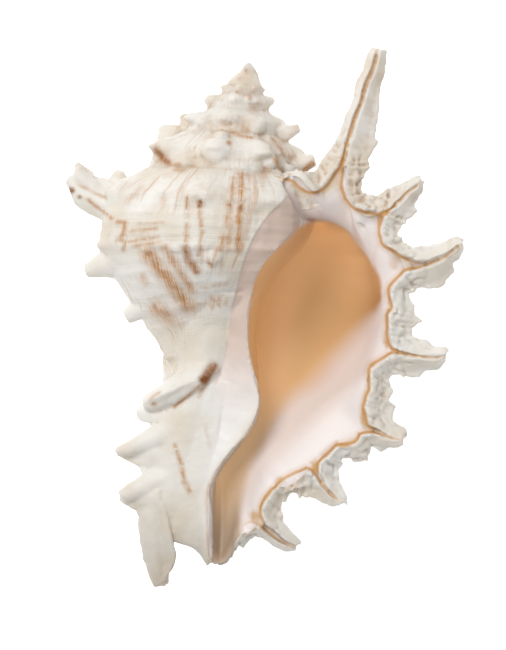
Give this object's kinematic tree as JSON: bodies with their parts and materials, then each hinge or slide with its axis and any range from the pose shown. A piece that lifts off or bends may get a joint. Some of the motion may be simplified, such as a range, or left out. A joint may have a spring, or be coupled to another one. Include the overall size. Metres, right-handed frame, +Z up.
{
  "type": "sea snail shell",
  "caption": "Large spiny sea snail shell with a pointed spire, a flared mouth edged with grooved spines and an open canal, lying on its back with the mouth up.",
  "frame": {"origin": "bottom centre of the bounding box, on the surface that the shell lies on", "axes": "+Y from the open canal towards the top of the spire and the tallest lip spine; +X towards the spiny outer lip; +Z up, out of the mouth"},
  "size_m": [0.1325, 0.18, 0.081],
  "materials": {
    "shell": "chalky off-white outside with orange-brown streaks, smooth and glossy pinkish white to warm tan inside the mouth, orange along the lip edge"
  },
  "bodies": {
    "root": {"shell": "shell"}
  },
  "joints": []
}
